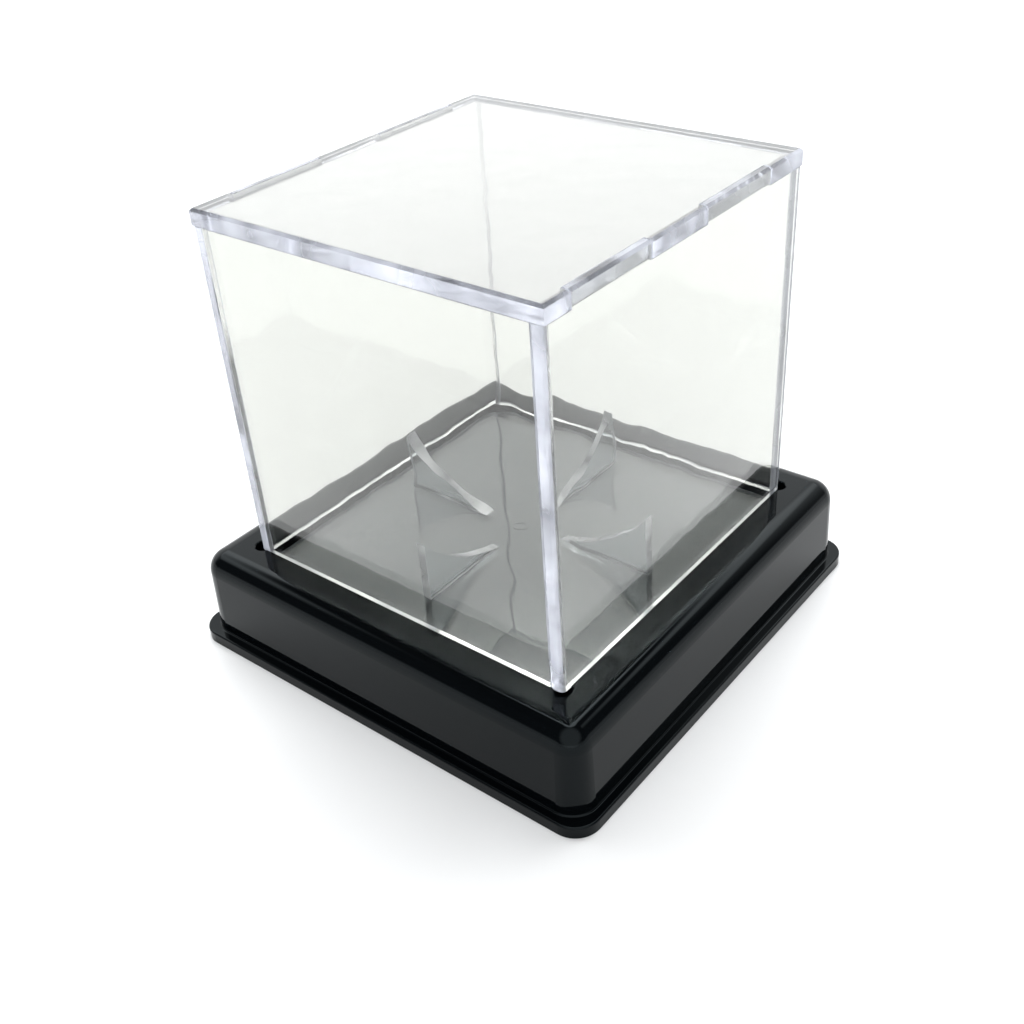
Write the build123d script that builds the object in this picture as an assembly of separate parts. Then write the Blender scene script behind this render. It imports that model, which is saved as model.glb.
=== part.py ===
from build123d import *
import math
import os

os.makedirs("parts", exist_ok=True)

# Free-standing display case for a small ball. Millimetres, +Z up, origin at
# the centre of the underside of the base; the front panel faces -Y.

# Base: flange around the foot, then a slightly tapered wall up to the ledge.
FLANGE_W = 80.0
FLANGE_T = 2.0
FLANGE_CORNER_R = 4.2
FLANGE_EDGE_R = 0.3
BODY_FOOT_W = 76.8
BODY_TOP_W = 75.9
BODY_CORNER_R = 4.0
BODY_TOP_R = 3.6
BODY_FOOT_R = 0.3
LEDGE_Z = 16.6

# Two steps down into the top of the base: a shallow seat for the cover and,
# inside it, a pocket for the cradle. Rest gaps keep neighbours just apart.
SEAT_FIT = 0.15
REST_GAP = 0.05
SEAT_Z = 16.05
POCKET_FLOOR_Z = 13.55
SEAT_EDGE_C = 0.15
RELIEF_R = 1.4
RELIEF_OFFSET = 30.4

# Hollow underside of the base.
WALL_T = 2.0
FLOOR_T = 2.0
HOLLOW_CORNER_R = 2.2
LEDGE_T = 2.4
GROOVE_INNER_R = 1.4

# Cover: four clear side panels and a clear top panel.
COVER_W = 61.4
PANEL_T = 2.0
JOINT_GAP = 0.1
PANEL_EDGE_C = 0.12
COVER_CORNER_R = 0.8
LID_BOTTOM_Z = 71.5
LID_TOP_Z = 74.0
LID_EDGE_C = 0.4

# Tabs on the left and right panels that stand up into notches in the top.
TAB_L = 16.6
TAB_T = 1.2
NOTCH_GAP = 0.12
NOTCH_END_GAP = 0.35
RIGHT_TAB_Y = (-17.2, 12.9)
LEFT_TAB_Y = (-15.1, 15.0)
TAB_ROOT = 1.0

# Cradle: thin plate with four upright fins whose tops curve in to the ball.
PLATE_T = 1.45
PLATE_CORNER_R = 0.8
PLATE_EDGE_C = 0.15
FIN_OUTER_R = 23.3
FIN_INNER_R = 6.5
FIN_H = 10.3
FIN_T = 1.5
FIN_SINK = 0.3
GATE_R = 1.4
GATE_BORE_R = 0.9
GATE_H = 0.15

# Cutting overrun past a face, and how near an edge must be to a plane to lie in it.
OVERRUN = 1.0
IN_PLANE = 0.01

# Derived sizes.
COVER_HALF = COVER_W / 2
INNER_HALF = COVER_HALF - PANEL_T
SEAT_W = COVER_W + 2 * SEAT_FIT
POCKET_W = 2 * INNER_HALF
PANEL_BOTTOM_Z = SEAT_Z + REST_GAP
PANEL_TOP_Z = LID_BOTTOM_Z - JOINT_GAP
PLATE_W = POCKET_W - 2 * SEAT_FIT
PLATE_BOTTOM_Z = POCKET_FLOOR_Z + REST_GAP
PLATE_TOP_Z = PLATE_BOTTOM_Z + PLATE_T
HOLLOW_TOP_Z = POCKET_FLOOR_Z - FLOOR_T
GROOVE_TOP_Z = LEDGE_Z - LEDGE_T
TAPER_DEG = math.degrees(math.atan((BODY_FOOT_W - BODY_TOP_W) / 2 / (LEDGE_Z - FLANGE_T)))


def top_edges(shape):
    """Edges in the highest horizontal plane of a shape."""
    return shape.edges().group_by(Axis.Z)[-1]


def block(x0, x1, y0, y1, z0, z1):
    """Box between two corners."""
    box = Box(x1 - x0, y1 - y0, z1 - z0)
    return Pos((x0 + x1) / 2, (y0 + y1) / 2, (z0 + z1) / 2) * box


def square_block(width, z0, z1):
    """Square box centred on the case's own axis."""
    return block(-width / 2, width / 2, -width / 2, width / 2, z0, z1)


def base_outside():
    """Flange plate with the tapered, round-topped body on it."""
    flange = extrude(RectangleRounded(FLANGE_W, FLANGE_W, FLANGE_CORNER_R), FLANGE_T)
    flange = fillet(top_edges(flange), FLANGE_EDGE_R)
    foot = Pos(0, 0, FLANGE_T) * RectangleRounded(BODY_FOOT_W, BODY_FOOT_W, BODY_CORNER_R)
    body = extrude(foot, LEDGE_Z - FLANGE_T, taper=TAPER_DEG)
    body = fillet(top_edges(body), BODY_TOP_R)
    solid = flange + body
    foot_edges = solid.edges().filter_by(
        lambda edge: abs(edge.center().Z - FLANGE_T) < IN_PLANE
        and edge.bounding_box().size.Z < IN_PLANE
        and max(abs(edge.center().X), abs(edge.center().Y)) < (BODY_FOOT_W + FLANGE_W) / 4
    )
    return fillet(foot_edges, BODY_FOOT_R)


def base_recess():
    """Cover seat, cradle pocket and round reliefs at the seat's corners."""
    recess = square_block(SEAT_W, SEAT_Z, LEDGE_Z) + square_block(POCKET_W, POCKET_FLOOR_Z, LEDGE_Z)
    depth = LEDGE_Z - POCKET_FLOOR_Z
    for sx in (-1, 1):
        for sy in (-1, 1):
            corner = Pos(sx * RELIEF_OFFSET, sy * RELIEF_OFFSET, POCKET_FLOOR_Z + depth / 2)
            recess += corner * Cylinder(RELIEF_R, depth)
    return recess


def base_hollow():
    """Open underside: one main hollow and a groove behind the ledge."""
    width = BODY_TOP_W - 2 * WALL_T
    hollow = extrude(RectangleRounded(width, width, HOLLOW_CORNER_R), HOLLOW_TOP_Z)
    inner_w = SEAT_W + 2 * WALL_T
    ring = RectangleRounded(width, width, HOLLOW_CORNER_R)
    ring -= RectangleRounded(inner_w, inner_w, GROOVE_INNER_R)
    groove = extrude(Pos(0, 0, HOLLOW_TOP_Z) * ring, GROOVE_TOP_Z - HOLLOW_TOP_Z)
    return hollow + groove


def base_shell():
    """Black base moulding."""
    shell = base_outside() - base_recess() - base_hollow()
    rim = shell.edges().filter_by(
        lambda edge: abs(edge.center().Z - LEDGE_Z) < IN_PLANE
        and edge.bounding_box().size.Z < IN_PLANE
        and max(abs(edge.center().X), abs(edge.center().Y)) < SEAT_W / 2 + RELIEF_R
    )
    return chamfer(rim, SEAT_EDGE_C)


def fin():
    """One fin along +X: upright outer end, top curving down to the plate."""
    foot_z = PLATE_TOP_Z - FIN_SINK
    tip_z = PLATE_TOP_Z + FIN_H
    # The arc is centred on the case's own axis.
    rise = (FIN_OUTER_R ** 2 + FIN_H ** 2 - FIN_INNER_R ** 2) / (2 * FIN_H)
    arc_r = math.hypot(FIN_INNER_R, rise)
    mid_x = (FIN_INNER_R + FIN_OUTER_R) / 2
    mid_z = PLATE_TOP_Z + rise - math.sqrt(arc_r ** 2 - mid_x ** 2)
    curve = ThreePointArc((FIN_INNER_R, PLATE_TOP_Z), (mid_x, mid_z), (FIN_OUTER_R, tip_z))
    sides = Polyline(
        (FIN_OUTER_R, tip_z),
        (FIN_OUTER_R, foot_z),
        (FIN_INNER_R, foot_z),
        (FIN_INNER_R, PLATE_TOP_Z),
    )
    outline = Plane.XZ * make_face(curve + sides)
    return extrude(outline, FIN_T / 2, both=True)


def ball_cradle():
    """Clear plate with four fins and the moulding gate's small ring."""
    plate = extrude(RectangleRounded(PLATE_W, PLATE_W, PLATE_CORNER_R), PLATE_T)
    plate = chamfer(top_edges(plate), PLATE_EDGE_C)
    cradle = Pos(0, 0, PLATE_BOTTOM_Z) * plate
    for turn in range(4):
        cradle += Rot(0, 0, 90 * turn) * fin()
    ring = Cylinder(GATE_R, GATE_H + FIN_SINK) - Cylinder(GATE_BORE_R, GATE_H + FIN_SINK)
    cradle += Pos(0, 0, PLATE_TOP_Z + (GATE_H - FIN_SINK) / 2) * ring
    return cradle


def tab(centre_y):
    """One tab of a right-hand panel, with its outer top edge taken off."""
    half = TAB_L / 2
    inner_x = COVER_HALF - TAB_T
    root_z = PANEL_TOP_Z - TAB_ROOT
    upright = block(inner_x, COVER_HALF, centre_y - half, centre_y + half, root_z, LID_TOP_Z)
    outer_edge = top_edges(upright).sort_by(Axis.X)[-1]
    return chamfer(outer_edge, LID_EDGE_C)


def side_panel(tab_y):
    """Panel on the +X side, as deep as the cover, with tabs on its top edge."""
    panel = block(INNER_HALF, COVER_HALF, -COVER_HALF, COVER_HALF, PANEL_BOTTOM_Z, PANEL_TOP_Z)
    uprights = panel.edges().filter_by(Axis.Z).sort_by(Axis.X)
    panel = fillet(uprights[-2:], COVER_CORNER_R)
    panel = chamfer(panel.edges().filter_by(Axis.Z).sort_by(Axis.X)[:2], PANEL_EDGE_C)
    for centre_y in tab_y:
        panel += tab(centre_y)
    return panel


def end_panel():
    """Panel on the +Y side, fitted between the left and right panels."""
    half = INNER_HALF - JOINT_GAP
    panel = block(-half, half, INNER_HALF, COVER_HALF, PANEL_BOTTOM_Z, PANEL_TOP_Z)
    return chamfer(panel.edges().filter_by(Axis.Z), PANEL_EDGE_C)


def top_panel():
    """Clear top with a notch around every tab."""
    lid = block(-COVER_HALF, COVER_HALF, -COVER_HALF, COVER_HALF, LID_BOTTOM_Z, LID_TOP_Z)
    lid = chamfer(top_edges(lid), LID_EDGE_C)
    half = TAB_L / 2 + NOTCH_END_GAP
    notch_x = COVER_HALF - TAB_T - NOTCH_GAP
    for side, tab_y in ((1, RIGHT_TAB_Y), (-1, LEFT_TAB_Y)):
        for centre_y in tab_y:
            x0, x1 = sorted((side * notch_x, side * (COVER_HALF + OVERRUN)))
            y0 = centre_y - half
            y1 = centre_y + half
            lid -= block(x0, x1, y0, y1, LID_BOTTOM_Z - OVERRUN, LID_TOP_Z + OVERRUN)
    return lid


right_panel = side_panel(RIGHT_TAB_Y)
left_panel = side_panel([-centre_y for centre_y in LEFT_TAB_Y])

export_step(base_shell(), "parts/base_shell.step")
export_step(ball_cradle(), "parts/ball_cradle.step")
export_step(Rot(0, 0, 180) * end_panel(), "parts/panel_front.step")
export_step(end_panel(), "parts/panel_back.step")
export_step(Rot(0, 0, 180) * left_panel, "parts/panel_left.step")
export_step(right_panel, "parts/panel_right.step")
export_step(top_panel(), "parts/top_panel.step")
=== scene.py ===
import functools
import math

import bpy
from mathutils import Matrix, Vector

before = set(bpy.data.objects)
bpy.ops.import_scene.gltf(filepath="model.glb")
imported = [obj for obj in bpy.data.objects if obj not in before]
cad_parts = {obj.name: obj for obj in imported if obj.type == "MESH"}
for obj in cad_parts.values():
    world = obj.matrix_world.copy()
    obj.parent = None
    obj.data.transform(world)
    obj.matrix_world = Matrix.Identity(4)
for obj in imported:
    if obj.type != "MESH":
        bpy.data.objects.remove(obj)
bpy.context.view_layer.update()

# Camera: where it stands, how it is turned, and the depth it draws.
CAM_LOCATION = (0.10804, -0.12818, 0.13148)
CAM_AZIMUTH = math.radians(40.41)
CAM_ELEVATION = math.radians(33.81)
CAM_ROLL = math.radians(-4.08)
CAM_LENS = 43.03
CAM_SHIFT = (-0.0061, -0.0096)
CAM_SENSOR = 36.0
CAM_CLIP = (0.005, 20.0)

# Studio. Sky strengths are for the directions that their names give.
FLOOR_SIZE = 6.0
FLOOR_COLOUR = (0.82, 0.82, 0.82, 1.0)
FLOOR_ROUGHNESS = 0.9
FLOOR_GLOSS = 0.1
SKY_COLOUR = (0.985, 1.0, 1.01, 1.0)
SKY_BACK = 1.95
SKY_FRONT = 0.12
SKY_HORIZON = 1.3
SKY_UPPER = 0.1
SKY_BAND = 2.2
BACK_WEIGHTS = (0.65, 0.76)
BACK_FADE = (0.1, 0.55)
HORIZON_FADE = (0.12, 0.24)
BAND_SIDE_FADE = (0.0, 0.3)
BAND_LOW_FADE = (0.6, 0.66)
BAND_HIGH_FADE = (0.7, 0.76)

# Round soft lights in the sky; each fade holds the cosines where it comes in.
TOP_STRENGTH = 5.6
TOP_DIRECTION = (-0.24, 0.34, 0.91)
TOP_FADE = (0.90, 0.94)
KEY_STRENGTH = 1.4
KEY_DIRECTION = (0.45, -0.55, 0.70)
KEY_FADE = (0.60, 0.85)

# Light is passed on many times inside a clear sheet before it leaves by an edge.
BOUNCES = 40

# Black plastic.
BLACK_COLOUR = (0.0012, 0.0017, 0.0022, 1.0)
BLACK_SHEEN = (0.82, 0.96, 1.0, 1.0)
BLACK_IOR = 1.23
# Noise is features per metre and detail; heights are metres.
BLACK_HAZE_NOISE = (60.0, 4.0)
BLACK_HAZE_SPAN = (0.35, 0.7)
BLACK_ROUGHNESS = (0.03, 0.07)
BLACK_WAVE_NOISE = (70.0, 1.0)
BLACK_WAVE = 0.000012
BLACK_PEEL_NOISE = (600.0, 2.0)
BLACK_PEEL = 0.0000008

# Clear plastic. Milk is how far an edge face's clarity drops.
CLEAR_IOR = 1.56
CLEAR_HAZE_NOISE = (90.0, 3.0)
CLEAR_HAZE_SPAN = (0.4, 0.75)
CLEAR_ROUGHNESS = (0.0, 0.03)
CLEAR_WAVE_SCALE = 110.0
STREAK_NOISE = (110.0, 2.0)
STREAK_SPAN = (0.3, 0.7)
COVER_COLOUR = (0.785, 0.79, 0.765, 1.0)
# The top panel is the same plastic as the side panels, given a darker tint as painted shade to dim the lid.
TOP_SHADED_COLOUR = (0.57, 0.57, 0.56, 1.0)
CRADLE_COLOUR = (0.92, 0.96, 0.985, 1.0)
CRADLE_CLARITY = 0.87
COVER_CLARITY = 1.0
COVER_WAVE = 0.00008
CRADLE_WAVE = 0.00001
EDGE_COLOUR = (0.70, 0.72, 0.80, 1.0)
EDGE_FROST = 0.10
EDGE_MILK = 0.3
# Fin rims and the band along the fins' feet are whitened and milky: painted highlight for the bright lines
# along the fins.
RIM_HIGHLIGHT_COLOUR = (0.95, 0.96, 1.0, 1.0)
RIM_HIGHLIGHT_MILK = 0.43

# The fins' rims begin this far above the plate and fade in over these lengths; the painted
# highlight line along a fin's foot is this high and stays this far out, clear of the gate ring.
RIM_CLEARANCE = 0.00015
FOOT_HIGHLIGHT_HEIGHT = 0.0004
FOOT_HIGHLIGHT_START = 0.004
RIM_END_FADE = 0.0001
RIM_FOOT_FADE = 0.0002

# A face counts as broad or as upward over these spans of its normal.
BROAD_SPAN = (0.72, 0.95)
UPWARD_SPAN = (0.1, 0.25)

# Noise on a sheet's two faces is read this far apart.
FACE_OFFSET = 0.05


def node(tree, kind, **settings):
    """A new shader node; settings are its properties."""
    made = tree.nodes.new(kind)
    for name, value in settings.items():
        setattr(made, name, value)
    return made


def maths(tree, operation, a, b=0.0):
    """A Math node on one or two values or sockets; gives its result socket."""
    made = node(tree, "ShaderNodeMath", operation=operation)
    for index, value in enumerate((a, b)):
        if isinstance(value, (int, float)):
            made.inputs[index].default_value = value
        else:
            tree.links.new(value, made.inputs[index])
    return made.outputs[0]


def ramp(tree, value, span, from_value, to_value):
    """Smooth change from one number to another while value crosses the span."""
    made = node(tree, "ShaderNodeMapRange", interpolation_type="SMOOTHSTEP")
    tree.links.new(value, made.inputs["Value"])
    made.inputs["From Min"].default_value = span[0]
    made.inputs["From Max"].default_value = span[1]
    made.inputs["To Min"].default_value = from_value
    made.inputs["To Max"].default_value = to_value
    return made.outputs["Result"]


def noise(tree, scale, detail):
    """Noise in object space, in features per metre; gives its value socket."""
    where = node(tree, "ShaderNodeTexCoord")
    texture = node(tree, "ShaderNodeTexNoise")
    texture.inputs["Scale"].default_value = scale
    texture.inputs["Detail"].default_value = detail
    tree.links.new(where.outputs["Object"], texture.inputs["Vector"])
    return texture.outputs["Fac"]


def face_noise(tree, scale):
    """Noise that differs between the two faces of a thin sheet."""
    where = node(tree, "ShaderNodeTexCoord")
    faces = node(tree, "ShaderNodeVectorMath", operation="SCALE")
    faces.inputs["Scale"].default_value = FACE_OFFSET
    tree.links.new(where.outputs["Normal"], faces.inputs[0])
    total = node(tree, "ShaderNodeVectorMath", operation="ADD")
    tree.links.new(where.outputs["Object"], total.inputs[0])
    tree.links.new(faces.outputs[0], total.inputs[1])
    texture = node(tree, "ShaderNodeTexNoise")
    texture.inputs["Scale"].default_value = scale
    texture.inputs["Detail"].default_value = 1.0
    tree.links.new(total.outputs[0], texture.inputs["Vector"])
    return texture.outputs["Fac"]


def split_axes(tree, socket):
    """The X, Y and Z of a vector socket."""
    split = node(tree, "ShaderNodeSeparateXYZ")
    tree.links.new(socket, split.inputs[0])
    return split.outputs


def bump(tree, height, distance, normal=None):
    """A Bump node over a height socket, on top of another if one is given."""
    made = node(tree, "ShaderNodeBump")
    made.inputs["Strength"].default_value = 1.0
    made.inputs["Distance"].default_value = distance
    tree.links.new(height, made.inputs["Height"])
    if normal is not None:
        tree.links.new(normal, made.inputs["Normal"])
    return made.outputs["Normal"]


def new_material(name):
    """A material with a Principled BSDF; gives the material, its tree and the shader."""
    material = bpy.data.materials.new(name)
    material.use_nodes = True
    tree = material.node_tree
    return material, tree, tree.nodes["Principled BSDF"]


def black_gloss():
    """Glossy black moulding: faint orange peel and patches of fine handling haze."""
    material, tree, shader = new_material("black_gloss")
    shader.inputs["Base Color"].default_value = BLACK_COLOUR
    shader.inputs["IOR"].default_value = BLACK_IOR
    shader.inputs["Specular Tint"].default_value = BLACK_SHEEN
    haze = noise(tree, *BLACK_HAZE_NOISE)
    tree.links.new(ramp(tree, haze, BLACK_HAZE_SPAN, *BLACK_ROUGHNESS), shader.inputs["Roughness"])
    wave = bump(tree, noise(tree, *BLACK_WAVE_NOISE), BLACK_WAVE)
    peel = bump(tree, noise(tree, *BLACK_PEEL_NOISE), BLACK_PEEL, wave)
    tree.links.new(peel, shader.inputs["Normal"])
    return material


def sheet_edge_mask(tree, axis):
    """1 on a sheet's narrow edge faces, 0 on its two broad faces, which face the axis."""
    where = node(tree, "ShaderNodeTexCoord")
    facing = split_axes(tree, where.outputs["Normal"])
    return ramp(tree, maths(tree, "ABSOLUTE", facing[axis]), BROAD_SPAN, 1.0, 0.0)


def fin_sizes():
    """How far out the cradle's fins reach, and the height of the plate they stand on."""
    corners = [vertex.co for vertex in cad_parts["ball_cradle"].data.vertices]
    fin_top = max(corner.z for corner in corners)
    fin_end = max(abs(corner.x) for corner in corners if corner.z > fin_top - RIM_FOOT_FADE)
    plate_top = max(corner.z for corner in corners if abs(corner.x) > fin_end + RIM_FOOT_FADE)
    return fin_end, plate_top


def fin_rim_highlight_mask(tree):
    """Painted highlight mask: 1 on the cradle fins' curved tops, outer ends and feet, 0 elsewhere."""
    fin_end, plate_top = fin_sizes()
    where = node(tree, "ShaderNodeTexCoord")
    place = split_axes(tree, where.outputs["Object"])
    facing = split_axes(tree, where.outputs["Normal"])
    reach = maths(tree, "MAXIMUM", maths(tree, "ABSOLUTE", place["X"]), maths(tree, "ABSOLUTE", place["Y"]))
    outer = ramp(tree, reach, (fin_end - RIM_END_FADE, fin_end), 0.0, 1.0)
    upward = ramp(tree, facing["Z"], UPWARD_SPAN, 0.0, 1.0)
    foot = plate_top + RIM_CLEARANCE
    above = ramp(tree, place["Z"], (foot, foot + RIM_FOOT_FADE), 0.0, 1.0)
    rim_highlight = maths(tree, "MULTIPLY", above, maths(tree, "MAXIMUM", outer, upward))
    # A thin band along each fin's foot, clear of the gate ring: painted highlight.
    foot_top = plate_top + FOOT_HIGHLIGHT_HEIGHT
    started = ramp(tree, place["Z"], (plate_top, plate_top + RIM_END_FADE), 0.0, 1.0)
    ended = ramp(tree, place["Z"], (foot_top, foot_top + RIM_END_FADE), 1.0, 0.0)
    off_ring = ramp(tree, reach, (FOOT_HIGHLIGHT_START, FOOT_HIGHLIGHT_START + RIM_END_FADE), 0.0, 1.0)
    foot_highlight = maths(tree, "MULTIPLY", maths(tree, "MULTIPLY", started, ended), off_ring)
    return maths(tree, "MAXIMUM", rim_highlight, foot_highlight)


def clear_plastic(name, broad, edge_look, edge_of):
    """Clear plastic: polished broad faces, slightly frosted and cooler edge faces.

    broad holds the colour, clarity and wave height of the broad faces, edge_look
    the colour and milk of the edge faces, and edge_of makes the mask between them.
    """
    colour, clarity, wave = broad
    edge_colour, milk = edge_look
    material, tree, shader = new_material(name)
    shader.inputs["IOR"].default_value = CLEAR_IOR
    edge = edge_of(tree)
    streaks = ramp(tree, noise(tree, *STREAK_NOISE), STREAK_SPAN, 0.0, 2.0 * milk)
    clear = maths(tree, "SUBTRACT", clarity, maths(tree, "MULTIPLY", edge, streaks))
    tree.links.new(clear, shader.inputs["Transmission Weight"])
    tint = node(tree, "ShaderNodeMix", data_type="RGBA")
    tree.links.new(edge, tint.inputs["Factor"])
    tint.inputs["A"].default_value = colour
    tint.inputs["B"].default_value = edge_colour
    tree.links.new(tint.outputs["Result"], shader.inputs["Base Color"])
    haze = ramp(tree, noise(tree, *CLEAR_HAZE_NOISE), CLEAR_HAZE_SPAN, *CLEAR_ROUGHNESS)
    frost = maths(tree, "MULTIPLY", edge, EDGE_FROST)
    tree.links.new(maths(tree, "ADD", haze, frost), shader.inputs["Roughness"])
    tree.links.new(bump(tree, face_noise(tree, CLEAR_WAVE_SCALE), wave), shader.inputs["Normal"])
    return material


def wear(nodes, material):
    """Gives these CAD nodes one material."""
    for name in nodes:
        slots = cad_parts[name].data.materials
        slots.clear()
        slots.append(material)


def build_materials():
    """Materials for all seven CAD nodes."""
    wear(["base_shell"], black_gloss())
    cradle = (CRADLE_COLOUR, CRADLE_CLARITY, CRADLE_WAVE)
    # The cradle's rims and fin feet get a near-white milky look: painted highlight.
    rim_highlight = (RIM_HIGHLIGHT_COLOUR, RIM_HIGHLIGHT_MILK)
    wear(["ball_cradle"], clear_plastic("cradle_plastic", cradle, rim_highlight, fin_rim_highlight_mask))
    sheets = {"X": ["panel_left", "panel_right"], "Y": ["panel_front", "panel_back"], "Z": ["top_panel"]}
    for axis, names in sheets.items():
        # The top panel takes its darker tint here: painted shade on the same plastic as the sides.
        colour = TOP_SHADED_COLOUR if axis == "Z" else COVER_COLOUR
        broad = (colour, COVER_CLARITY, COVER_WAVE)
        edge_look = (EDGE_COLOUR, EDGE_MILK)
        edge_of = functools.partial(sheet_edge_mask, axis=axis)
        wear(names, clear_plastic("cover_plastic_" + axis, broad, edge_look, edge_of))


def build_floor():
    """Plain pale floor."""
    mesh = bpy.data.meshes.new("floor")
    half = FLOOR_SIZE / 2
    corners = [(-half, -half, 0.0), (half, -half, 0.0), (half, half, 0.0), (-half, half, 0.0)]
    mesh.from_pydata(corners, [], [(0, 1, 2, 3)])
    floor = bpy.data.objects.new("floor", mesh)
    bpy.context.scene.collection.objects.link(floor)
    material, tree, shader = new_material("floor_white")
    shader.inputs["Base Color"].default_value = FLOOR_COLOUR
    shader.inputs["Roughness"].default_value = FLOOR_ROUGHNESS
    shader.inputs["Specular IOR Level"].default_value = FLOOR_GLOSS
    mesh.materials.append(material)


def soft_disc(tree, where, direction, fade, strength):
    """A round soft-edged light in the sky."""
    towards = node(tree, "ShaderNodeVectorMath", operation="DOT_PRODUCT")
    tree.links.new(where, towards.inputs[0])
    towards.inputs[1].default_value = Vector(direction).normalized()
    return ramp(tree, towards.outputs["Value"], fade, 0.0, strength)


def sky_wall(tree, backward, z):
    """Strength around the sides: dim in front, brighter behind, with a bright band."""
    side = ramp(tree, backward, BACK_FADE, SKY_FRONT, SKY_BACK)
    band = ramp(tree, backward, BAND_SIDE_FADE, 0.0, SKY_BAND)
    band = maths(tree, "MULTIPLY", band, ramp(tree, z, BAND_LOW_FADE, 0.0, 1.0))
    below = ramp(tree, z, BAND_HIGH_FADE, 1.0, 0.0)
    lower = maths(tree, "MULTIPLY", maths(tree, "ADD", side, band), below)
    upper = ramp(tree, z, BAND_HIGH_FADE, 0.0, SKY_UPPER)
    middle = ramp(tree, z, HORIZON_FADE, 0.0, 1.0)
    return maths(tree, "MULTIPLY", maths(tree, "ADD", lower, upper), middle)


def build_sky():
    """Soft surroundings: bright behind and above, dim in front at mid height."""
    world = bpy.data.worlds.new("studio")
    world.use_nodes = True
    tree = world.node_tree
    background = tree.nodes["Background"]
    where = node(tree, "ShaderNodeTexCoord").outputs["Generated"]
    x, y, z = split_axes(tree, where)
    rightward = maths(tree, "MULTIPLY", x, BACK_WEIGHTS[0])
    backward = maths(tree, "SUBTRACT", maths(tree, "MULTIPLY", y, BACK_WEIGHTS[1]), rightward)
    wall = sky_wall(tree, backward, z)
    horizon = ramp(tree, z, HORIZON_FADE, SKY_HORIZON, 0.0)
    top = soft_disc(tree, where, TOP_DIRECTION, TOP_FADE, TOP_STRENGTH)
    key = soft_disc(tree, where, KEY_DIRECTION, KEY_FADE, KEY_STRENGTH)
    strength = maths(tree, "ADD", maths(tree, "ADD", wall, horizon), maths(tree, "ADD", top, key))
    tree.links.new(strength, background.inputs["Strength"])
    background.inputs["Color"].default_value = SKY_COLOUR
    bpy.context.scene.world = world


def build_camera():
    """Camera at the photographed angle."""
    data = bpy.data.cameras.new("camera")
    data.lens = CAM_LENS
    data.sensor_width = CAM_SENSOR
    data.shift_x, data.shift_y = CAM_SHIFT
    data.clip_start, data.clip_end = CAM_CLIP
    camera = bpy.data.objects.new("camera", data)
    back = Vector(
        (
            math.sin(CAM_AZIMUTH) * math.cos(CAM_ELEVATION),
            -math.cos(CAM_AZIMUTH) * math.cos(CAM_ELEVATION),
            math.sin(CAM_ELEVATION),
        )
    )
    right = (-back).cross(Vector((0.0, 0.0, 1.0))).normalized()
    up = right.cross(-back)
    rolled_right = right * math.cos(CAM_ROLL) + up * math.sin(CAM_ROLL)
    rolled_up = up * math.cos(CAM_ROLL) - right * math.sin(CAM_ROLL)
    turn = Matrix((rolled_right, rolled_up, back)).transposed()
    camera.matrix_world = Matrix.Translation(CAM_LOCATION) @ turn.to_4x4()
    bpy.context.scene.collection.objects.link(camera)
    bpy.context.scene.camera = camera


scene = bpy.context.scene
scene.view_settings.view_transform = "Standard"
scene.cycles.max_bounces = BOUNCES
scene.cycles.glossy_bounces = BOUNCES
scene.cycles.transmission_bounces = BOUNCES
build_materials()
build_floor()
build_sky()
build_camera()
